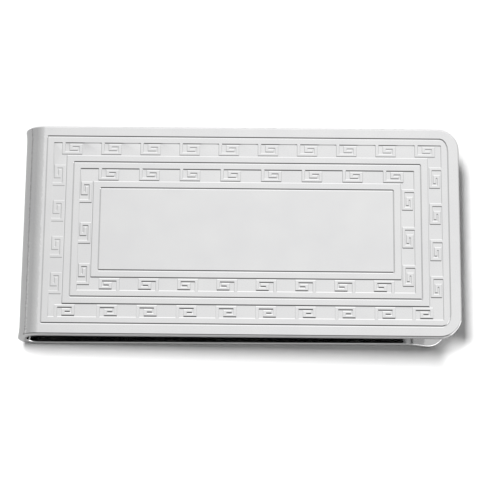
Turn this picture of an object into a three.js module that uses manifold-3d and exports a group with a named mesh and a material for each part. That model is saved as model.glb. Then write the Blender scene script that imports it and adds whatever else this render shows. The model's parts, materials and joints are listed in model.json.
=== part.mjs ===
// A folded money clip: one strip of plated sheet brass bent once into a U. The decorated front plate
// lies on top, the fold is the spring, and the plain back leaf below it ends in a flared lip.
// The strip is divided where it flexes and where it changes shape, so that it can open and close.

import * as THREE from "three";
import { mergeVertices } from "three/addons/utils/BufferGeometryUtils.js";
import Module from "manifold-3d";

const wasm = await Module();
wasm.setup();

// Driving dimensions, in millimetres and degrees.
// The clip's own axes: x = 0 at the crown of the fold, y = 0 on the centre line, z = 0 on the plate's top.
const LENGTH = 54;
const WIDTH = 27;
const SHEET = 0.95;
const FOLD_RADIUS = 2.33; // outside of the fold
const PLATE_CORNER = 2.7;
const LEAF_RISE = 0.9; // the leaf closes up on the plate by this angle
const LIP_START = 47;
const LIP_END = 52;
const LIP_ANGLE = 25.4; // below the plate's plane
const LIP_BEND_RADIUS = 2.5; // on the underside
const LIP_CORNER = 2.8;
const SEAM_GAP = 0.05; // the slit at the crown that lets the two halves of the fold turn

// Engraving on the front plate: three lines, one inside the other, with a meander band between each two.
const FRAME_START = 2.76; // from the crown to the outermost line
const FRAME_END_RIM = 1.38;
const FRAME_SIDE_RIM = 1.35;
const FRAME_PITCH = 3.4;
const LINE_WIDTH = 0.2;
const LINE_DEPTH = 0.06;
const BAND_OFFSET = 0.84; // from a line to the band inside it
const RELIEF = 0.06;

// One key of the meander: three strokes side by side across the band, with channels between them and a
// groove on either side, joined by uprights. The lengths along the band are for a key of KEY_LENGTH.
const STROKE = 0.33;
const CHANNEL = 0.18;
const GROOVE = 0.165;
const BAND_WIDTH = 3 * STROKE + 2 * CHANNEL + 2 * GROOVE;
const UPRIGHT = 0.36;
const ENTRY = 0.56; // between the root and the coil
const TONGUE_GAP = 0.2;
const KEY_LENGTH = 2.5;
const TALL_KEY = 2.72; // on the clip's short sides

// The keys on each side of each band. A row's first key begins at first, measured from the band's left or
// near corner, less lead. Each key's root is at its low or its high end.
const BANDS = [
  {
    line: 0,
    rows: {
      near: { keys: 10, first: 1.1, pitch: 4.84, length: KEY_LENGTH, root: "low", lead: 0.34 },
      end: { keys: 4, first: 2.84, pitch: 4.72, length: TALL_KEY, root: "high", lead: 0 },
      far: { keys: 10, first: 1.05, pitch: 4.875, length: KEY_LENGTH, root: "low", lead: 0 },
      fold: { keys: 4, first: 2.89, pitch: 4.685, length: TALL_KEY, root: "low", lead: 0 },
    },
  },
  {
    line: 1,
    rows: {
      near: { keys: 8, first: 2.73, pitch: 4.8, length: KEY_LENGTH, root: "high", lead: 0 },
      end: { keys: 3, first: 0.84, pitch: 4.925, length: TALL_KEY, root: "high", lead: 0 },
      far: { keys: 8, first: 2.28, pitch: 5.043, length: KEY_LENGTH, root: "low", lead: 0 },
      fold: { keys: 3, first: 0.69, pitch: 5.325, length: TALL_KEY, root: "low", lead: 0 },
    },
  },
];

const ARC_STEPS = 18;
const OVERRUN = 1; // how far a cutter reaches past what it cuts

const radians = THREE.MathUtils.degToRad;
const silver = { color: 0xd8d8da, metalness: 1, roughness: 0.16 };

// Booleans.

function solidOf(geometry) {
  const bare = geometry.index ? geometry.toNonIndexed() : geometry.clone();
  bare.deleteAttribute("normal");
  bare.deleteAttribute("uv");
  const merged = mergeVertices(bare, 1e-4);
  return new wasm.Manifold(
    new wasm.Mesh({
      numProp: 3,
      vertProperties: merged.attributes.position.array,
      triVerts: new Uint32Array(merged.index.array),
    }),
  );
}

function geometryOf(solid) {
  const mesh = solid.getMesh();
  const geometry = new THREE.BufferGeometry();
  geometry.setAttribute("position", new THREE.BufferAttribute(mesh.vertProperties, 3));
  geometry.setIndex(new THREE.BufferAttribute(mesh.triVerts, 1));
  geometry.computeVertexNormals();
  return geometry;
}

function box(low, high) {
  const size = high.map((value, axis) => value - low[axis]);
  const geometry = new THREE.BoxGeometry(...size);
  geometry.translate(...low.map((value, axis) => value + size[axis] / 2));
  return solidOf(geometry);
}

// Extrusions: a side profile drawn in x and z runs across the clip, a plan drawn in x and y runs down.

function acrossWidth(profile) {
  const geometry = new THREE.ExtrudeGeometry(profile, {
    depth: WIDTH,
    bevelEnabled: false,
    curveSegments: ARC_STEPS,
  });
  geometry.rotateX(Math.PI / 2);
  geometry.translate(0, WIDTH / 2, 0);
  return geometry;
}

function downFrom(top, plan, depth) {
  const geometry = new THREE.ExtrudeGeometry(plan, {
    depth,
    bevelEnabled: false,
    curveSegments: ARC_STEPS,
  });
  geometry.translate(0, 0, top - depth);
  return geometry;
}

// A rectangle across the whole width whose two corners at its far end are rounded.
function tonguePlan(start, end, corner) {
  const half = WIDTH / 2;
  const plan = new THREE.Shape();
  plan.moveTo(start, -half);
  plan.lineTo(end - corner, -half);
  plan.absarc(end - corner, -half + corner, corner, -Math.PI / 2, 0, false);
  plan.absarc(end - corner, half - corner, corner, 0, Math.PI / 2, false);
  plan.lineTo(start, half);
  plan.closePath();
  return plan;
}

// Engraving.

// The rectangle of engraved line number index, drawn inwards by inset.
function frameRectangle(index, inset) {
  const step = index * FRAME_PITCH + inset;
  const half = WIDTH / 2 - FRAME_SIDE_RIM - step;
  return {
    left: FRAME_START + step,
    right: LENGTH - FRAME_END_RIM - step,
    near: -half,
    far: half,
  };
}

function slab(rectangle, depth) {
  return box(
    [rectangle.left, rectangle.near, -depth],
    [rectangle.right, rectangle.far, OVERRUN],
  );
}

function engravedLine(index) {
  const outside = slab(frameRectangle(index, -LINE_WIDTH / 2), LINE_DEPTH);
  const inside = slab(frameRectangle(index, LINE_WIDTH / 2), LINE_DEPTH + OVERRUN);
  return outside.subtract(inside);
}

// The straight strokes of one key, each as [u from, u to, v from, v to]: u runs along the band from the
// key's root and v runs from the band's outer edge inwards.
function keyStrokes(length) {
  const scale = length / KEY_LENGTH;
  const upright = UPRIGHT * scale;
  const coil = upright + ENTRY * scale;
  const tongue = length - upright - TONGUE_GAP * scale;
  const inner = BAND_WIDTH - GROOVE;
  const middle = GROOVE + STROKE + CHANNEL;
  return [
    [0, upright, -OVERRUN / 2, inner],
    [0, length, inner - STROKE, inner],
    [length - upright, length, GROOVE, inner],
    [coil, length, GROOVE, GROOVE + STROKE],
    [coil, coil + upright, GROOVE, middle + STROKE],
    [coil, tongue, middle, middle + STROKE],
  ];
}

// The corner that each side of a band is measured from, the way it runs and the way inwards.
function bandSides({ left, right, near, far }) {
  return {
    near: { from: [left, near], along: [1, 0], inward: [0, 1] },
    end: { from: [right, near], along: [0, 1], inward: [-1, 0] },
    far: { from: [left, far], along: [1, 0], inward: [0, -1] },
    fold: { from: [left, near], along: [0, 1], inward: [1, 0] },
  };
}

function keysOfRow(row, side) {
  const boxes = [];
  for (let key = 0; key < row.keys; key += 1) {
    const start = row.first + key * row.pitch - (key === 0 ? row.lead : 0);
    for (const [u0, u1, v0, v1] of keyStrokes(row.length)) {
      const ends = row.root === "low" ? [u0, u1] : [row.length - u0, row.length - u1];
      const corners = [
        [start + ends[0], v0],
        [start + ends[1], v1],
      ].map(([u, v]) => side.from.map((base, axis) => base + u * side.along[axis] + v * side.inward[axis]));
      const xs = corners.map((corner) => corner[0]).sort((a, b) => a - b);
      const ys = corners.map((corner) => corner[1]).sort((a, b) => a - b);
      boxes.push(box([xs[0], ys[0], -RELIEF - OVERRUN], [xs[1], ys[1], OVERRUN]));
    }
  }
  return boxes;
}

function meanderBand({ line, rows }) {
  const outline = frameRectangle(line, BAND_OFFSET);
  const middle = frameRectangle(line, BAND_OFFSET + BAND_WIDTH);
  const floor = slab(outline, RELIEF).subtract(slab(middle, RELIEF + OVERRUN));
  const sides = bandSides(outline);
  const keys = Object.entries(rows).flatMap(([name, row]) => keysOfRow(row, sides[name]));
  return floor.subtract(wasm.Manifold.union(keys));
}

// Side profile of the strip. Everything is measured from the centre of the fold.

const fold = new THREE.Vector2(FOLD_RADIUS, -FOLD_RADIUS);
const innerRadius = FOLD_RADIUS - SHEET;
const leafAngle = radians(LEAF_RISE);
const leafAlong = new THREE.Vector2(Math.cos(leafAngle), Math.sin(leafAngle));
const leafDown = new THREE.Vector2(Math.sin(leafAngle), -Math.cos(leafAngle));
const lipTurn = radians(LIP_ANGLE) + leafAngle;
const lipAlong = new THREE.Vector2(Math.cos(radians(LIP_ANGLE)), -Math.sin(radians(LIP_ANGLE)));
const lipDown = new THREE.Vector2(-Math.sin(radians(LIP_ANGLE)), -Math.cos(radians(LIP_ANGLE)));

const leafUnderStart = fold.clone().addScaledVector(leafDown, FOLD_RADIUS);
const leafLength = (LIP_START - leafUnderStart.x) / leafAlong.x;
const leafUnderEnd = leafUnderStart.clone().addScaledVector(leafAlong, leafLength);
const lipBendCentre = leafUnderEnd.clone().addScaledVector(leafDown, LIP_BEND_RADIUS);
const lipUnderStart = lipBendCentre.clone().addScaledVector(lipDown, -LIP_BEND_RADIUS);
const lipReach = (LIP_END - lipUnderStart.x) / lipAlong.x;
const lipTip = lipUnderStart.clone().addScaledVector(lipAlong, lipReach);

function frontPlate() {
  const blank = solidOf(downFrom(0, tonguePlan(FOLD_RADIUS, LENGTH, PLATE_CORNER), SHEET));
  const lines = [0, 1, 2].map(engravedLine);
  const bands = BANDS.map(meanderBand);
  return geometryOf(blank.subtract(wasm.Manifold.union([...lines, ...bands])));
}

function foldUpper() {
  const outerEnd = Math.PI - Math.asin(SEAM_GAP / FOLD_RADIUS);
  const innerEnd = Math.PI - Math.asin(SEAM_GAP / innerRadius);
  const profile = new THREE.Shape();
  profile.absarc(fold.x, fold.y, FOLD_RADIUS, Math.PI / 2, outerEnd, false);
  profile.absarc(fold.x, fold.y, innerRadius, innerEnd, Math.PI / 2, true);
  profile.closePath();
  return acrossWidth(profile);
}

function foldLower() {
  const end = 1.5 * Math.PI + leafAngle;
  const profile = new THREE.Shape();
  profile.absarc(fold.x, fold.y, FOLD_RADIUS, Math.PI, end, false);
  profile.absarc(fold.x, fold.y, innerRadius, end, Math.PI, true);
  profile.closePath();
  return acrossWidth(profile);
}

function backLeaf() {
  const topStart = leafUnderStart.clone().addScaledVector(leafDown, -SHEET);
  const topEnd = leafUnderEnd.clone().addScaledVector(leafDown, -SHEET);
  return acrossWidth(new THREE.Shape([leafUnderStart, leafUnderEnd, topEnd, topStart]));
}

function flaredLip() {
  const bendStart = Math.PI / 2 + leafAngle;
  const bendEnd = bendStart - lipTurn;
  const topTip = lipTip.clone().addScaledVector(lipDown, -SHEET);
  const profile = new THREE.Shape();
  profile.absarc(lipBendCentre.x, lipBendCentre.y, LIP_BEND_RADIUS, bendStart, bendEnd, true);
  profile.lineTo(lipTip.x, lipTip.y);
  profile.lineTo(topTip.x, topTip.y);
  profile.absarc(lipBendCentre.x, lipBendCentre.y, LIP_BEND_RADIUS + SHEET, bendEnd, bendStart, false);
  profile.closePath();
  const strip = solidOf(acrossWidth(profile));
  const plan = tonguePlan(LIP_START - OVERRUN, topTip.x, LIP_CORNER);
  const tall = solidOf(downFrom(OVERRUN, plan, -lipTip.y + 2 * OVERRUN));
  return geometryOf(strip.intersect(tall));
}

function part(name, geometry) {
  const mesh = new THREE.Mesh(geometry, new THREE.MeshStandardMaterial(silver));
  mesh.name = name;
  return mesh;
}

// The strip stands on the fold's underside and the lip's tip, which tips the plate up a little.
const reach = lipTip.clone().sub(fold);
const restTilt = -Math.asin(FOLD_RADIUS / reach.length()) - reach.angle() + 2 * Math.PI;
const foldCentre = fold.clone().rotateAround(new THREE.Vector2(), restTilt);
const plateEnd = new THREE.Vector2(LENGTH, -SHEET).rotateAround(new THREE.Vector2(), restTilt);

const strip = new THREE.Group();
strip.add(
  part("front_plate", frontPlate()),
  part("fold_upper", foldUpper()),
  part("fold_lower", foldLower()),
  part("back_leaf", backLeaf()),
  part("flared_lip", flaredLip()),
);
strip.rotation.y = -restTilt;
strip.position.x = -(foldCentre.x - FOLD_RADIUS + plateEnd.x) / 2;
strip.position.z = FOLD_RADIUS - foldCentre.y;

const moneyClip = new THREE.Group();
moneyClip.add(strip);

export default moneyClip;
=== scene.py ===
import json
import math
from collections import namedtuple

import bmesh
import bpy
import numpy as np
from mathutils import Matrix, Vector, geometry


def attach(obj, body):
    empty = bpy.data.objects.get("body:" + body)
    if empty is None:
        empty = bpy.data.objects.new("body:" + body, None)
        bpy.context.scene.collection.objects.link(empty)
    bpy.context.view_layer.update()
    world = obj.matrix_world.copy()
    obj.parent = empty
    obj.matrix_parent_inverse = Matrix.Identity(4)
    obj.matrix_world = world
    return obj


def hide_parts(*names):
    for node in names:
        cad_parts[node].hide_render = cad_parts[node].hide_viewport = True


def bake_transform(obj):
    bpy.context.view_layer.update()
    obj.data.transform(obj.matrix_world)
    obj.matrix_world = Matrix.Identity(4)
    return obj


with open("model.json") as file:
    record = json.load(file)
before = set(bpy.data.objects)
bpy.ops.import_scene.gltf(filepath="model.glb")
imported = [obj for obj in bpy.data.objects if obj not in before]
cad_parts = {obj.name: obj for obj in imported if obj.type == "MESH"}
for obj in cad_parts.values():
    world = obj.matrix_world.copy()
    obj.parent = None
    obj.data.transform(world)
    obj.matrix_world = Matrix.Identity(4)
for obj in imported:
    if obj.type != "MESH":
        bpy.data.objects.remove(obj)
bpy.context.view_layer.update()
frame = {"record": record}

# The clip's own axes, in millimetres: x = 0 at the crown of the fold and runs to the open end, y = 0 on
# the centre line, z = 0 on the plate's engraved face. The strip is drawn in them, then set in the frame.
MM = 0.001
LENGTH = 54.0
WIDTH = 27.0
HALF_WIDTH = WIDTH / 2
SHEET = 0.95
FOLD_RADIUS = 2.33
PLATE_CORNER = 2.7
LEAF_RISE = math.radians(0.9)
LIP_START = 47.0
LIP_END = 52.0
LIP_ANGLE = math.radians(25.4)
LIP_BEND_RADIUS = 2.5
LIP_CORNER = 2.8
SEAM = 0.1  # flat lead-in beyond each end of the fold, where the pieces meet
EDGE_BULGE = 0.14  # the bend pushes the strip's edges out at the crown
BULGE_REACH = 1.6
BULGE_SHARES = (0.3, 0.5, 0.75, 1.0)  # of the reach, where a bulging strip has extra points
FOLD_STEPS = 40
LEAF_SHARES = (0.02, 0.25, 0.5, 0.75, 1.0)  # of the leaf's flat run
LIP_STEPS = 14
END_STEPS = 12  # round each corner of a free end

# Rounded edges of the sheet.
OUTER_ARRIS = 0.16
INNER_ARRIS = 0.10
ARRIS_STEPS = 4

# A close extra loop keeps the flats flat. It stands nearer where the flat run is short.
SUPPORT = 0.012
SUPPORT_SHARE = 0.3
SUPPORT_LEAST = 0.001

# Painted highlight: white specks on the shoulder of the fold, standing in for the lit floor that the bend
# reflects just below the horizon. Its x and z, how far it reaches above and below, and the y where it
# begins and where it is full.
PAINTED_GLINT_AT = 0.97
PAINTED_GLINT_DROP = -0.44
PAINTED_GLINT_REACH = 0.15
PAINTED_GLINT_NONE_Y = 1.0
PAINTED_GLINT_FULL_Y = -5.0

# Engraving.
FRAME_START = 2.76
FRAME_END_RIM = 1.38
FRAME_SIDE_RIM = 1.35
FRAME_PITCH = 3.4
LINE_HALF_WIDTH = 0.14
LINE_DEPTH = 0.065
LINE_STEPS = 8
OUTER_LINE_CORNER = 1.6  # at the open end of the outermost line
LINE_CORNER = 0.2
LINE_SIDE_WALL = 0.6
BAND_OFFSET = 0.84
RELIEF = 0.06
WALL_HALF_WIDTH = 0.07
WALL_STEPS = 5
KEY_CORNER = 0.088
CORNER_STEPS = 4
DEPTH_CHANGE = 0.8  # along a short side, from its corner's depth to its own
FADE = 0.3  # along the outer edge of a band, from a key's end

# The key, drawn at its usual length: three strokes side by side across the band, with channels between
# them and grooves outside them, and uprights that join them at the key's ends.
STROKE = 0.33
CHANNEL = 0.18
GROOVE = 0.165
BAND_WIDTH = 3 * STROKE + 2 * CHANNEL + 2 * GROOVE
UPRIGHT = 0.36
ENTRY = 0.56
TONGUE_GAP = 0.2
KEY_LENGTH = 2.5
TALL_KEY = 2.72  # on the short sides

# Mesh building.
STRAIGHT = 0.01  # the sine of a turn too small to need rounding
MERGE = 0.0005  # points nearer than this become one
CLOSE = 1e-6  # the tolerance of a fill
SHARP = math.radians(50)  # an edge that turns more stays sharp


def clip_axes():
    """The matrix from the clip's own axes, in millimetres, to the frame, in metres."""
    mounts = {mount["name"]: mount for mount in frame["record"]["mounts"]}
    up = Vector(mounts["engraving_panel"]["axis"]).normalized()
    across = Vector((0.0, 1.0, 0.0))
    along = across.cross(up)
    joint = frame["record"]["behaviour"]["joints"][0]
    crown = Vector(joint["pos_m"])
    origin = crown + up * FOLD_RADIUS * MM
    turn = Matrix((along, across, up)).transposed().to_4x4()
    return Matrix.Translation(origin) @ turn @ Matrix.Scale(MM, 4)


AXES = clip_axes()


# Outlines -----------------------------------------------------------------------------------------


# A corner of an outline. depth is how deep the relief is there and wall how wide the wall is from there
# to the next corner, as shares of the usual.
Corner = namedtuple("Corner", "x y radius depth wall")

# The keys on one side of a band. The first begins at first, measured from the band's left or near corner,
# and its root is at the low or the high end. lead and tail move the first and the last key back. brink,
# depth and shore are how deep the relief is at the band's outer edge, round the keys and at its inner
# edge. between is its depth along the outer edge between the keys, where that differs from brink.
# side_wall is how wide the walls that face along the clip are. Depths and widths are shares of the usual.
Row = namedtuple(
    "Row",
    "keys first pitch length root brink depth shore side_wall lead tail between",
    defaults=(0, 0, None),
)


def ring(corners, inset):
    """A closed outline, anticlockwise, with rounded corners, moved inwards by inset. Each point is x, y
    and the depth of the relief there."""
    points = []
    count = len(corners)
    for i, corner in enumerate(corners):
        before = corners[i - 1]
        after = corners[(i + 1) % count]
        place = Vector((corner.x, corner.y))
        come = (place - Vector((before.x, before.y))).normalized()
        leave = (Vector((after.x, after.y)) - place).normalized()
        one = Vector((-come.y, come.x)) * before.wall
        two = Vector((-leave.y, leave.x)) * corner.wall
        if abs(come.cross(leave)) < STRAIGHT:
            points.append((*(place + one * inset), corner.depth))
            continue
        turn = 1 if come.cross(leave) > 0 else -1
        radius = corner.radius - inset * turn
        arc = []
        for step in range(CORNER_STEPS + 1):
            angle = (math.pi / 2) * step / CORNER_STEPS
            shift_one = one * (corner.radius - radius * math.cos(angle))
            shift_two = two * (corner.radius - radius * math.sin(angle))
            arc.append(place + (shift_one + shift_two) * turn)
        arc.insert(0, arc[0] - come * support(before, corner))
        arc.append(arc[-1] + leave * support(corner, after))
        points.extend((*point, corner.depth) for point in arc)
    return points


def support(one, two):
    """How far from a rounded corner the extra point stands that keeps the straight run beside it flat."""
    run = math.hypot(two.x - one.x, two.y - one.y) - one.radius - two.radius
    return max(SUPPORT_LEAST, min(SUPPORT, SUPPORT_SHARE * run))


def frame_corners(index, inset):
    """The corners of engraved frame number index, moved inwards by inset."""
    step = index * FRAME_PITCH + inset
    left = FRAME_START + step
    right = LENGTH - FRAME_END_RIM - step
    side = HALF_WIDTH - FRAME_SIDE_RIM - step
    return [(left, -side), (right, -side), (right, side), (left, side)]


def frame_sides(index, inset):
    """Each side of that frame, anticlockwise from the near one, as its start, its end and its direction."""
    corners = [Vector(corner) for corner in frame_corners(index, inset)]
    ends = corners[1:] + corners[:1]
    return [(start, end, (end - start).normalized()) for start, end in zip(corners, ends)]


def key_outline(length):
    """One key: u along the band, v from the band's outer edge inwards."""
    scale = length / KEY_LENGTH
    upright = UPRIGHT * scale
    coil = upright + ENTRY * scale
    tongue = length - upright - TONGUE_GAP * scale
    inner = BAND_WIDTH - GROOVE
    middle = GROOVE + STROKE + CHANNEL
    return [
        (0, 0),
        (0, inner),
        (length, inner),
        (length, GROOVE),
        (coil, GROOVE),
        (coil, middle + STROKE),
        (tongue, middle + STROKE),
        (tongue, middle),
        (coil + upright, middle),
        (coil + upright, GROOVE + STROKE),
        (length - upright, GROOVE + STROKE),
        (length - upright, inner - STROKE),
        (upright, inner - STROKE),
        (upright, 0),
    ]


def key_rows():
    """The rows of keys on the sides of each band, anticlockwise from the near side."""
    return {
        "outer": [
            Row(keys=10, first=1.1, pitch=4.84, length=KEY_LENGTH, root="low", lead=0.34, tail=0.26,
                brink=1.0, depth=1.0, shore=1.2, side_wall=0.15),
            Row(keys=4, first=2.84, pitch=4.72, length=TALL_KEY, root="high",
                brink=0.5, depth=0.5, shore=0.5, side_wall=0.4),
            Row(keys=10, first=1.05, pitch=4.875, length=KEY_LENGTH, root="low",
                brink=0.8, depth=0.42, shore=0.5, side_wall=0.3, between=0.3),
            Row(keys=4, first=2.89, pitch=4.685, length=TALL_KEY, root="low",
                brink=0.3, depth=0.3, shore=0.5, side_wall=0.6),
        ],
        "inner": [
            Row(keys=8, first=2.73, pitch=4.8, length=KEY_LENGTH, root="high",
                brink=0.95, depth=0.85, shore=0.9, side_wall=0.2),
            Row(keys=3, first=0.84, pitch=4.925, length=TALL_KEY, root="high",
                brink=0.55, depth=0.55, shore=0.6, side_wall=0.4),
            Row(keys=8, first=2.28, pitch=5.043, length=KEY_LENGTH, root="low",
                brink=1.0, depth=0.52, shore=0.6, side_wall=0.3),
            Row(keys=3, first=0.69, pitch=5.325, length=TALL_KEY, root="low",
                brink=0.5, depth=0.55, shore=0.7, side_wall=0.6),
        ],
    }


def row_feet(row, rising, run):
    """Where the keys of a row begin, measured along its side. A rising side runs away from the band's left
    or near corner, and run is its length."""
    feet = [row.first + number * row.pitch for number in range(row.keys)]
    feet[0] -= row.lead
    feet[-1] -= row.tail
    if rising:
        return feet
    return [run - foot - row.length for foot in reversed(feet)]


def row_key(row, rising):
    """One key of a row, as points u, v and the depth of the relief there."""
    key = key_outline(row.length)
    if rising != (row.root == "low"):
        key = [(row.length - u, v) for u, v in reversed(key)]
    points = [(u, v, row.brink if v == 0 else row.depth) for u, v in key]
    return points if row.between is None else faded_ends(points, row)


def faded_ends(key_points, row):
    """A key with points added along the band's outer edge, where the relief fades to its depth between
    the keys. The full depth reaches over the key's whole length."""
    start = [(-FADE, 0, row.between)]
    end = [(row.length + FADE, 0, row.between)]
    if key_points[0][0] > 0:
        start.append((0, 0, row.brink))
    else:
        end.insert(0, (row.length, 0, row.brink))
    return start + key_points + end


def corner_row(rows, side):
    """The near or far row whose relief reaches round the corner where this side begins."""
    return rows[0] if side in (0, 1) else rows[2]


def band_outline(index, rows):
    """The outer edge of a sunk band, anticlockwise, going round every key that grows out of it."""
    outline = []
    for side, (start, end, along) in enumerate(frame_sides(index, BAND_OFFSET)):
        row = rows[side]
        inwards = Vector((-along.y, along.x))
        rising = side < 2
        across = side % 2 == 1
        run_wall = row.side_wall if across else 1.0
        rise_wall = 1.0 if across else row.side_wall
        depth = corner_row(rows, side).brink
        outline.append(Corner(start.x, start.y, KEY_CORNER, depth, run_wall))
        key = row_key(row, rising)
        onward = key[1:] + key[:1]
        for foot in row_feet(row, rising, (end - start).length):
            for (u, v, depth), (_, next_v, _) in zip(key, onward):
                place = start + along * (foot + u) + inwards * v
                wall = run_wall if next_v == v else rise_wall
                outline.append(Corner(place.x, place.y, KEY_CORNER, depth, wall))
    return outline


def island_outline(index, rows):
    """The outer edge of the raised strip inside a sunk band."""
    outline = []
    for side, (start, end, along) in enumerate(frame_sides(index, BAND_OFFSET + BAND_WIDTH)):
        row = rows[side]
        across = side % 2 == 1
        wall = row.side_wall if across else 1.0
        depth = corner_row(rows, side).shore
        outline.append(Corner(start.x, start.y, KEY_CORNER, depth, wall))
        if across:
            for place in (start + along * DEPTH_CHANGE, end - along * DEPTH_CHANGE):
                outline.append(Corner(place.x, place.y, KEY_CORNER, row.shore, wall))
    return outline


def line_outline(index):
    """The middle of an engraved line."""
    open_end = OUTER_LINE_CORNER if index == 0 else LINE_CORNER
    radii = (LINE_CORNER, open_end, open_end, LINE_CORNER)
    walls = (1.0, LINE_SIDE_WALL, 1.0, LINE_SIDE_WALL)
    corners = frame_corners(index, 0)
    return [Corner(x, y, radius, 1.0, wall) for (x, y), radius, wall in zip(corners, radii, walls)]


# Mesh building ------------------------------------------------------------------------------------


class Sheet:
    """Collects points and faces in the clip's axes and turns them into one Blender object."""

    def __init__(self):
        self.points = []
        self.faces = []

    def add_points(self, points):
        """Adds points and returns their numbers, as a loop."""
        first = len(self.points)
        self.points.extend(points)
        return list(range(first, first + len(points)))

    def add_ring(self, points, height):
        """Adds flat points at one height."""
        return self.add_points([(x, y, height) for x, y in points])

    def bridge(self, one, two, closed=True):
        """Joins two loops with a row of faces."""
        count = len(one)
        for i in range(count if closed else count - 1):
            j = (i + 1) % count
            self.faces.append((one[i], one[j], two[j], two[i]))

    def fill(self, outside, holes=()):
        """Fills the flat area inside one loop and outside the others."""
        loops = [outside, *holes]
        order = [index for loop in loops for index in loop]
        flat = [Vector(self.points[index][:2]) for index in order]
        edges = []
        base = 0
        for loop in loops:
            edges.extend((base + i, base + (i + 1) % len(loop)) for i in range(len(loop)))
            base += len(loop)
        points, _, faces, origins, _, _ = geometry.delaunay_2d_cdt(flat, edges, [], 0, CLOSE)
        if len(points) != len(flat):
            raise RuntimeError("an outline crosses itself")
        back = [order[origin[0]] for origin in origins]
        corners = np.array([[tuple(points[v]) for v in face] for face in faces])
        middles = corners.mean(axis=1)
        keep = inside(middles, [self.points[i][:2] for i in outside])
        for hole in holes:
            keep &= ~inside(middles, [self.points[i][:2] for i in hole])
        for face, wanted in zip(faces, keep):
            if wanted:
                self.faces.append(tuple(back[v] for v in face))

    def make(self, name):
        """Merges the points that meet and links the mesh as an object, smooth but for its sharp edges."""
        mesh = bpy.data.meshes.new(name)
        mesh.from_pydata(self.points, [], self.faces)
        mesh.transform(AXES)
        joined = bmesh.new()
        joined.from_mesh(mesh)
        bmesh.ops.remove_doubles(joined, verts=joined.verts, dist=MERGE * MM)
        bmesh.ops.recalc_face_normals(joined, faces=joined.faces)
        for edge in joined.edges:
            edge.smooth = edge.is_manifold and edge.calc_face_angle(0.0) < SHARP
        for face in joined.faces:
            face.smooth = True
        joined.to_mesh(mesh)
        joined.free()
        piece = bpy.data.objects.new(name, mesh)
        bpy.context.collection.objects.link(piece)
        return piece


def inside(points, loop):
    """Whether each point is inside a closed loop, by counting the edges it looks through."""
    result = np.zeros(len(points), bool)
    loop = np.array(loop)
    x, y = points[:, 0], points[:, 1]
    for (x0, y0), (x1, y1) in zip(loop, np.roll(loop, -1, axis=0)):
        if y0 == y1:
            continue
        crosses = (y0 > y) != (y1 > y)
        result ^= crosses & (x < (x1 - x0) * (y - y0) / (y1 - y0) + x0)
    return result


def wall_profile():
    """Inset and height across the wall of a sunk band, from the plate's face down to the band's floor."""
    profile = [(-WALL_HALF_WIDTH - SUPPORT, 0.0)]
    for step in range(WALL_STEPS + 1):
        t = step / WALL_STEPS
        drop = t * t * (3 - 2 * t)
        profile.append(((2 * t - 1) * WALL_HALF_WIDTH, -RELIEF * drop))
    profile.append((WALL_HALF_WIDTH + SUPPORT, -RELIEF))
    return profile


def line_profile():
    """Inset and height across an engraved line: a soft V."""
    profile = [(-LINE_HALF_WIDTH - SUPPORT, 0.0)]
    for step in range(LINE_STEPS + 1):
        t = 2 * step / LINE_STEPS - 1
        depth = LINE_DEPTH * 0.5 * (1 + math.cos(math.pi * t))
        profile.append((t * LINE_HALF_WIDTH, -depth))
    profile.append((LINE_HALF_WIDTH + SUPPORT, 0.0))
    return profile


def rings_along(sheet, corners, profile):
    """Rings that follow one outline through a profile. Returns the first and the last."""
    rings = []
    for inset, height in profile:
        rings.append(sheet.add_points([(x, y, height * depth) for x, y, depth in ring(corners, inset)]))
    for one, two in zip(rings, rings[1:]):
        sheet.bridge(one, two)
    return rings[0], rings[-1]


def edge_section():
    """Inset and height round the sheet's edge, from its outer face to its inner one."""
    section = [(OUTER_ARRIS + SUPPORT, 0.0)]
    for step in range(ARRIS_STEPS + 1):
        angle = (math.pi / 2) * step / ARRIS_STEPS
        section.append((OUTER_ARRIS * (1 - math.sin(angle)), -OUTER_ARRIS * (1 - math.cos(angle))))
    for step in range(ARRIS_STEPS + 1):
        angle = (math.pi / 2) * step / ARRIS_STEPS
        rise = -SHEET + INNER_ARRIS * (1 - math.sin(angle))
        section.append((INNER_ARRIS * (1 - math.cos(angle)), rise))
    section.append((INNER_ARRIS + SUPPORT, -SHEET))
    return section


def tongue(start, end, corner, inset):
    """The open outline of a strip's free end in plan, from its near side round to its far side."""
    radius = corner - inset
    points = [(start, -(HALF_WIDTH - inset))]
    for sign, first_angle in ((-1, -math.pi / 2), (1, 0.0)):
        for step in range(END_STEPS + 1):
            angle = first_angle + (math.pi / 2) * step / END_STEPS
            x = end - corner + radius * math.cos(angle)
            y = sign * (HALF_WIDTH - corner) + radius * math.sin(angle)
            points.append((x, y))
    points.append((start, HALF_WIDTH - inset))
    return points


def free_end(sheet, start, end, corner):
    """The rounded rim of a strip's free end. Returns its loops, from the outer face to the inner one."""
    rims = []
    for inset, height in edge_section():
        rims.append(sheet.add_ring(tongue(start, end, corner, inset), height))
    for one, two in zip(rims, rims[1:]):
        sheet.bridge(one, two, closed=False)
    return rims


def front_plate():
    """The decorated plate: its rim, then each line, band and raised strip in turn, going inwards."""
    sheet = Sheet()
    rims = free_end(sheet, FOLD_RADIUS + SEAM, LENGTH, PLATE_CORNER)
    sheet.fill(rims[-1])
    cap = [rim[0] for rim in rims] + [rim[-1] for rim in reversed(rims)]
    sheet.faces.append(tuple(cap))

    rows = key_rows()
    outside = rims[0]
    for number, band in enumerate(("outer", "inner", None)):
        first, last = rings_along(sheet, line_outline(number), line_profile())
        sheet.fill(outside, [first])
        outside = last
        if band is None:
            sheet.fill(last)
            break
        brink, floor = rings_along(sheet, band_outline(number, rows[band]), wall_profile())
        sheet.fill(outside, [brink])
        climb = [(-inset, height) for inset, height in reversed(wall_profile())]
        shore, outside = rings_along(sheet, island_outline(number, rows[band]), climb)
        sheet.fill(floor, [shore])
    return sheet.make("engraved_plate")


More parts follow.
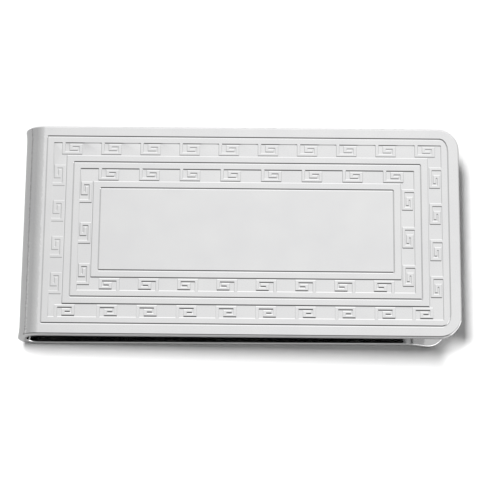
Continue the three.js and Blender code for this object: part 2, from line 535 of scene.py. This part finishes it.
def station(centre, radius, angle):
    """A point on the strip's outer face and the direction out of it, on a round stretch."""
    normal = Vector((math.cos(angle), math.sin(angle)))
    return centre + normal * radius, normal


def fold_stations():
    """The strip's outer face round the fold, from the plate's flat to the leaf's."""
    centre = Vector((FOLD_RADIUS, -FOLD_RADIUS))
    turn = math.pi + LEAF_RISE
    stations = [(Vector((FOLD_RADIUS + SEAM, 0.0)), Vector((0.0, 1.0)))]
    for step in range(FOLD_STEPS + 1):
        stations.append(station(centre, FOLD_RADIUS, math.pi / 2 + turn * step / FOLD_STEPS))
    tangent, down = stations[-1]
    along = Vector((-down.y, down.x))
    stations.append((tangent + along * SEAM, down))
    return stations


def leaf_stations():
    """The strip's outer face along the leaf and round the bend where the lip turns down."""
    tangent, down = fold_stations()[-1]
    along = Vector((-down.y, down.x))
    reach = (LIP_START - tangent.x) / along.x
    stations = [(tangent, down)]
    for share in LEAF_SHARES:
        stations.append((tangent + along * reach * share, down))
    bend_centre = stations[-1][0] + down * LIP_BEND_RADIUS
    for step in range(1, LIP_STEPS + 1):
        angle = LEAF_RISE + (-LIP_ANGLE - LEAF_RISE) * step / LIP_STEPS
        outwards = Vector((math.sin(angle), -math.cos(angle)))
        stations.append((bend_centre - outwards * LIP_BEND_RADIUS, outwards))
    return stations


def cross_section(bulging):
    """The closed outline of the strip's section, as y and height, from the near outer edge round. A
    bulging strip has extra points near its edges."""
    near = [(-(HALF_WIDTH - inset), height) for inset, height in edge_section()]
    far = [(HALF_WIDTH - inset, height) for inset, height in reversed(edge_section())]
    if not bulging:
        return near + far
    steps = [HALF_WIDTH - BULGE_REACH * share for share in BULGE_SHARES]
    inner = [(-y, -SHEET) for y in steps] + [(y, -SHEET) for y in reversed(steps)]
    outer = [(y, 0.0) for y in steps] + [(-y, 0.0) for y in reversed(steps)]
    return near + inner + far + outer


def sweep(sheet, stations, bulge=0.0):
    """A strip through the stations. bulge pushes its two edges out where it faces the closed end."""
    loops = []
    for origin, normal in stations:
        points = []
        for y, height in cross_section(bulge > 0):
            near_edge = max(0.0, 1 - (HALF_WIDTH - abs(y)) / BULGE_REACH)
            lift = bulge * max(0.0, -normal.x) ** 2 * near_edge ** 2
            place = origin + normal * (height + lift)
            points.append((place.x, y, place.y))
        loops.append(sheet.add_points(points))
    for one, two in zip(loops, loops[1:]):
        sheet.bridge(one, two)
    return loops


def spring_fold():
    """The whole fold as one closed strip."""
    sheet = Sheet()
    loops = sweep(sheet, fold_stations(), EDGE_BULGE)
    sheet.faces.append(tuple(loops[0]))
    sheet.faces.append(tuple(loops[-1]))
    return sheet.make("spring_fold_strip")


def back_leaf():
    """The plain leaf with its flared lip."""
    sheet = Sheet()
    stations = leaf_stations()
    loops = sweep(sheet, stations)
    sheet.faces.append(tuple(loops[0]))

    # The lip beyond its bend is flat, so its rounded end is drawn in plan and laid along it.
    start, outwards = stations[-1]
    along = Vector((-outwards.y, outwards.x))
    flat = Sheet()
    rims = free_end(flat, 0.0, (LIP_END - start.x) / along.x, LIP_CORNER)
    flat.fill(rims[0])
    flat.fill(rims[-1])
    base = len(sheet.points)
    for x, y, height in flat.points:
        place = start + along * x + outwards * height
        sheet.points.append((place.x, y, place.y))
    sheet.faces.extend(tuple(base + index for index in face) for face in flat.faces)
    return sheet.make("plain_leaf")


# Shader nodes -------------------------------------------------------------------------------------


def map_range(tree, source, low, high):
    """A number from 0 where the source is low to 1 where it is high, held beyond them."""
    node = tree.nodes.new("ShaderNodeMapRange")
    node.inputs["From Min"].default_value = low
    node.inputs["From Max"].default_value = high
    tree.links.new(source, node.inputs["Value"])
    return node.outputs["Result"]


def between(tree, share, low, high):
    """A number that runs from low to high as the share runs from 0 to 1."""
    node = tree.nodes.new("ShaderNodeMapRange")
    node.inputs["To Min"].default_value = low
    node.inputs["To Max"].default_value = high
    tree.links.new(share, node.inputs["Value"])
    return node.outputs["Result"]


def times(tree, one, two):
    """The product of two numbers."""
    node = tree.nodes.new("ShaderNodeMath")
    node.operation = "MULTIPLY"
    tree.links.new(one, node.inputs[0])
    tree.links.new(two, node.inputs[1])
    return node.outputs["Value"]


def mixed(tree, how, one, two):
    """Two colours combined in full, without a limit at white."""
    node = tree.nodes.new("ShaderNodeMix")
    node.data_type = "RGBA"
    node.blend_type = how
    node.inputs["Factor"].default_value = 1.0
    node.clamp_result = False
    tree.links.new(one, node.inputs["A"])
    tree.links.new(two, node.inputs["B"])
    return node.outputs["Result"]


def chosen(tree, share, one, two=None, two_colour=None):
    """Colour one where the share is 0 and colour two, linked or fixed, where it is 1."""
    node = tree.nodes.new("ShaderNodeMix")
    node.data_type = "RGBA"
    tree.links.new(share, node.inputs["Factor"])
    tree.links.new(one, node.inputs["A"])
    if two_colour:
        node.inputs["B"].default_value = two_colour
    else:
        tree.links.new(two, node.inputs["B"])
    return node.outputs["Result"]


def ramp_on(tree, source, stops):
    """A ramp over one number. Each stop is a position and a colour, or a grey as one number."""
    ramp = tree.nodes.new("ShaderNodeValToRGB")
    elements = ramp.color_ramp.elements
    while len(elements) < len(stops):
        elements.new(0.5)
    for element, (position, colour) in zip(elements, stops):
        element.position = position
        element.color = colour if isinstance(colour, tuple) else (colour, colour, colour, 1.0)
    tree.links.new(source, ramp.inputs["Fac"])
    return ramp.outputs["Color"]


def noise(tree, vector, scale, detail):
    """Soft noise, from 0 to 1."""
    node = tree.nodes.new("ShaderNodeTexNoise")
    node.inputs["Scale"].default_value = scale
    node.inputs["Detail"].default_value = detail
    tree.links.new(vector, node.inputs["Vector"])
    return node.outputs["Fac"]


def bump(tree, height, strength, distance, under=None):
    """A relief of that height, over another one where under is given."""
    node = tree.nodes.new("ShaderNodeBump")
    node.inputs["Strength"].default_value = strength
    node.inputs["Distance"].default_value = distance
    tree.links.new(height, node.inputs["Height"])
    if under:
        tree.links.new(under, node.inputs["Normal"])
    return node.outputs["Normal"]


# Material -----------------------------------------------------------------------------------------

# Noise scales are repeats per metre and bump heights are metres.
PALE = (0.77, 0.77, 0.77, 1.0)
DULL = (0.74, 0.74, 0.745, 1.0)
# Painted highlight: the white of the specks on the fold's shoulder.
GLINT_WHITE = (1.0, 1.0, 1.0, 1.0)
TONE_SCALE = 240.0
TONE_RANGE = (0.3, 0.7)
GLOSS_ROUGHNESS = (0.08, 0.13)
MARKS_STRETCH = (60.0, 2600.0, 2600.0)  # long and thin, along the clip
MARKS_SCALE = 3.0
MARKS_STRENGTH = 0.1
MARKS_HEIGHT = 0.00001
RIPPLE_SCALE = 420.0
RIPPLE_HEIGHT = 0.00005
GRAIN_SCALE = 4200.0
GRAIN_HEIGHT = 0.000015
# Size and threshold of the painted highlight specks on the fold.
GLINT_SPECK_SCALE = 5200.0
GLINT_SPECK_RANGE = (0.43, 0.5)


def plating(name, ripple, grain):
    """Bright polished plating: a faint ripple, fine polishing marks, a slightly uneven gloss and, where
    the sheet is bent, the grain that bending brings up. ripple and grain are strengths."""
    material = bpy.data.materials.new(name)
    material.use_nodes = True
    tree = material.node_tree
    shader = tree.nodes["Principled BSDF"]
    shader.inputs["Metallic"].default_value = 1.0
    where = tree.nodes.new("ShaderNodeTexCoord").outputs["Object"]

    tone = noise(tree, where, TONE_SCALE, detail=3.0)
    dull, pale = TONE_RANGE
    colour = ramp_on(tree, tone, [(dull, DULL), (pale, PALE)])
    tree.links.new(colour, shader.inputs["Base Color"])
    tree.links.new(between(tree, tone, *GLOSS_ROUGHNESS), shader.inputs["Roughness"])

    stretch = tree.nodes.new("ShaderNodeMapping")
    stretch.inputs["Scale"].default_value = MARKS_STRETCH
    tree.links.new(where, stretch.inputs["Vector"])
    marks = noise(tree, stretch.outputs["Vector"], MARKS_SCALE, detail=4.0)
    marked = bump(tree, marks, MARKS_STRENGTH, MARKS_HEIGHT)
    wave = noise(tree, where, RIPPLE_SCALE, detail=2.0)
    rippled = bump(tree, wave, ripple, RIPPLE_HEIGHT, under=marked)
    peel = noise(tree, where, GRAIN_SCALE, detail=1.0)
    grained = bump(tree, peel, grain, GRAIN_HEIGHT, under=rippled)
    tree.links.new(grained, shader.inputs["Normal"])
    return material


def paint_glint_specks(material):
    """Painted highlight: white specks along the shoulder of the fold, where the bend reflects the lit floor
    just below the horizon, heaviest towards its near side.
    """
    tree = material.node_tree
    base = tree.nodes["Principled BSDF"].inputs["Base Color"]
    where = tree.nodes.new("ShaderNodeTexCoord").outputs["Object"]
    split = tree.nodes.new("ShaderNodeSeparateXYZ")
    tree.links.new(where, split.inputs["Vector"])
    shoulder = (AXES @ Vector((PAINTED_GLINT_AT, 0.0, PAINTED_GLINT_DROP))).z
    reach = PAINTED_GLINT_REACH * MM
    below = map_range(tree, split.outputs["Z"], shoulder - reach, shoulder)
    above = map_range(tree, split.outputs["Z"], shoulder + reach, shoulder)
    near = map_range(tree, split.outputs["Y"], PAINTED_GLINT_NONE_Y * MM, PAINTED_GLINT_FULL_Y * MM)
    glint_specks = map_range(tree, noise(tree, where, GLINT_SPECK_SCALE, detail=1.0), *GLINT_SPECK_RANGE)
    glint_amount = times(tree, times(tree, times(tree, below, above), near), glint_specks)
    # Painted highlight: the plating's colour turns white where the specks fall on the shoulder.
    tree.links.new(chosen(tree, glint_amount, base.links[0].from_socket, two_colour=GLINT_WHITE), base)


# Pieces -------------------------------------------------------------------------------------------

plate = front_plate()
plate.data.materials.append(plating("plate_plating", 0.06, 0.04))
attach(plate, "front_plate")
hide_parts("front_plate")

fold = spring_fold()
fold.data.materials.append(plating("fold_plating", 0.15, 0.8))
# White specks painted on the fold's shoulder as a highlight.
paint_glint_specks(fold.data.materials[0])
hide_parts("fold_upper", "fold_lower")
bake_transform(fold)

leaf = back_leaf()
leaf.data.materials.append(plating("leaf_plating", 0.06, 0.04))
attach(leaf, "back_leaf")
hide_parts("back_leaf", "flared_lip")


# Camera -------------------------------------------------------------------------------------------

AIM = Vector((26.91, -1.29, 0.0))
DISTANCE = 285.0
ELEVATION = math.radians(71.345)
YAW = math.radians(1.21)
ROLL = math.radians(-0.636)
SENSOR = 36.0
LENS = 173.9
NEAREST = 0.01  # metres


def place_camera():
    """A long lens above the near side. AIM is the point that it looks at, in the clip's axes."""
    back = Vector((
        math.cos(ELEVATION) * math.sin(YAW),
        -math.cos(ELEVATION) * math.cos(YAW),
        math.sin(ELEVATION),
    ))
    level = Vector((math.cos(YAW), math.sin(YAW), 0.0))
    upright = back.cross(level)
    right = level * math.cos(ROLL) + upright * math.sin(ROLL)
    up = back.cross(right)
    turn = AXES.to_3x3() @ Matrix((right, up, back)).transposed()
    unscaled = Matrix([column.normalized() for column in turn.transposed()]).transposed()
    data = bpy.data.cameras.new("camera")
    data.sensor_width = SENSOR
    data.lens = LENS
    data.clip_start = NEAREST
    camera = bpy.data.objects.new("camera", data)
    bpy.context.collection.objects.link(camera)
    camera.matrix_world = Matrix.Translation(AXES @ (AIM + back * DISTANCE)) @ unscaled.to_4x4()
    bpy.context.scene.camera = camera


place_camera()


# Studio -------------------------------------------------------------------------------------------

FLOOR_REACH = 3.0
FLOOR_WHITE = 0.9
FLOOR_MIRRORED = 0.44  # the paper as the metal sees it, like a clip shot on a small sheet of white
AMBIENT = 0.14
LAMP_DISTANCE = 2.0
SPOT_SOURCE = 0.0005  # its radius: a larger one would spread the spot

# The sky that the metal reflects, as stops of a place and a brightness. A place is a direction's X, Y or
# Z from 0 to 1, or where it says HALVED, the same from -1 to 1 brought to 0 to 1.
ACROSS_HALVED_X = [
    (0.0, 0.49), (0.05, 0.51), (0.08, 0.53), (0.11, 0.515), (0.145, 0.515), (0.18, 0.55), (0.27, 0.62),
    (0.36, 0.69), (0.415, 0.74), (0.445, 0.955), (0.465, 0.975), (0.49, 1.005), (0.6, 1.0), (0.75, 0.82),
    (0.85, 0.66), (1.0, 0.6),
]
DEPTH_HALVED_Y = [
    (0.0, 0.14), (0.4, 0.18), (0.53, 0.6), (0.6, 0.96), (0.63, 1.04), (0.65, 1.015), (0.665, 1.02),
    (0.685, 1.07), (0.7, 1.08), (0.8, 1.25), (1.0, 1.45),
]
HORIZON_HALVED_Z = [(0.0, 1.0), (0.49, 1.0), (0.5, 0.7), (0.545, 0.7), (0.585, 1.0), (1.0, 1.0)]
WINDOW_X = [(0.0, 0.0), (0.42, 0.0), (0.55, 1.0), (1.0, 1.0)]
WINDOW_HALVED_Y = [(0.12, 0.0), (0.17, 2.6), (0.53, 2.6), (0.58, 0.0)]
WINDOW_Z = [(0.0, 1.0), (0.45, 1.0), (0.6, 0.0)]
FRONT_WALL_HALVED_Y = [(0.0, 0.5), (0.1, 0.5), (0.35, 0.0), (1.0, 0.0)]
FRONT_WALL_Z = [(0.0, 1.0), (0.38, 1.0), (0.46, 0.0)]


def floor():
    """White paper, dimmer in the metal's reflections than to the camera."""
    reach = FLOOR_REACH
    corners = [(-reach, -reach, 0), (reach, -reach, 0), (reach, reach, 0), (-reach, reach, 0)]
    mesh = bpy.data.meshes.new("floor")
    mesh.from_pydata(corners, [], [(0, 1, 2, 3)])
    ground = bpy.data.objects.new("floor", mesh)
    bpy.context.collection.objects.link(ground)
    paper = bpy.data.materials.new("paper")
    paper.use_nodes = True
    tree = paper.node_tree
    shader = tree.nodes["Principled BSDF"]
    shader.inputs["Roughness"].default_value = 1.0
    shader.inputs["Specular IOR Level"].default_value = 0.0
    mirrored = tree.nodes.new("ShaderNodeLightPath").outputs["Is Glossy Ray"]
    tree.links.new(between(tree, mirrored, FLOOR_WHITE, FLOOR_MIRRORED), shader.inputs["Base Color"])
    mesh.materials.append(paper)


def sky():
    """What the metal reflects: an even white overhead that dims towards both sides, a bright wall behind,
    a dark room on the camera's side with a low pale wall, a dark line at the horizon and a window at the
    front right. The floor gets only an even ambient light, and the camera would see plain white."""
    world = bpy.data.worlds.new("studio")
    world.use_nodes = True
    tree = world.node_tree
    where = tree.nodes.new("ShaderNodeTexCoord").outputs["Generated"]
    split = tree.nodes.new("ShaderNodeSeparateXYZ")
    tree.links.new(where, split.inputs["Vector"])
    x = split.outputs["X"]
    z = split.outputs["Z"]
    halved_x = map_range(tree, x, -1.0, 1.0)
    halved_y = map_range(tree, split.outputs["Y"], -1.0, 1.0)
    halved_z = map_range(tree, z, -1.0, 1.0)

    across = ramp_on(tree, halved_x, ACROSS_HALVED_X)
    depth = ramp_on(tree, halved_y, DEPTH_HALVED_Y)
    room = mixed(tree, "MULTIPLY", across, depth)
    room = mixed(tree, "MULTIPLY", room, ramp_on(tree, halved_z, HORIZON_HALVED_Z))
    window = mixed(tree, "MULTIPLY", ramp_on(tree, x, WINDOW_X), ramp_on(tree, halved_y, WINDOW_HALVED_Y))
    window = mixed(tree, "MULTIPLY", window, ramp_on(tree, z, WINDOW_Z))
    wall_across = ramp_on(tree, halved_y, FRONT_WALL_HALVED_Y)
    front_wall = mixed(tree, "MULTIPLY", wall_across, ramp_on(tree, z, FRONT_WALL_Z))
    seen = mixed(tree, "ADD", mixed(tree, "ADD", room, window), front_wall)

    ray = tree.nodes.new("ShaderNodeLightPath")
    even = between(tree, ray.outputs["Is Camera Ray"], AMBIENT, 1.0)
    light = chosen(tree, ray.outputs["Is Glossy Ray"], even, seen)
    tree.links.new(light, tree.nodes["Background"].inputs["Color"])
    bpy.context.scene.world = world


def lamp(name, towards, wide, deep, watts):
    """A soft lamp, wide along the clip and deep across it. It lights the paper, and the metal doesn't
    mirror it."""
    data = bpy.data.lights.new(name, "AREA")
    data.shape = "RECTANGLE"
    data.size = wide
    data.size_y = deep
    data.energy = watts
    light = bpy.data.objects.new(name, data)
    bpy.context.collection.objects.link(light)
    towards = Vector(towards).normalized()
    level = Vector((0.0, 1.0, 0.0)).cross(towards).normalized()
    light.location = towards * LAMP_DISTANCE
    light.rotation_euler = Matrix((level, towards.cross(level), towards)).transposed().to_euler()
    light.visible_glossy = False


def spot(name, aim, towards, distance, reach, watts):
    """A small soft spot on the paper. aim and reach are in the clip's millimetres, distance in metres."""
    data = bpy.data.lights.new(name, "SPOT")
    data.energy = watts
    data.spot_size = 2 * math.atan(reach * MM / distance)
    data.spot_blend = 1.0
    data.shadow_soft_size = SPOT_SOURCE
    light = bpy.data.objects.new(name, data)
    bpy.context.collection.objects.link(light)
    target = AXES @ Vector(aim)
    target.z = 0.0
    towards = Vector(towards).normalized()
    light.location = target + towards * distance
    light.rotation_euler = towards.to_track_quat("Z", "Y").to_euler()
    light.visible_glossy = False


floor()
sky()
lamp("key", towards=(-0.26, 0.18, 1.0), wide=0.42, deep=0.8, watts=42.0)
lamp("front_fill", towards=(0.0, -1.0, 0.6), wide=0.6, deep=0.6, watts=8.6)
open_corner = (LENGTH + 0.75, -HALF_WIDTH - 1.0, 0.0)  # just off the plate's near corner
spot("corner_fill", aim=open_corner, towards=(0.45, -0.5, 1.0), distance=0.12, reach=2.75, watts=0.5)
bpy.context.scene.view_settings.view_transform = "Standard"
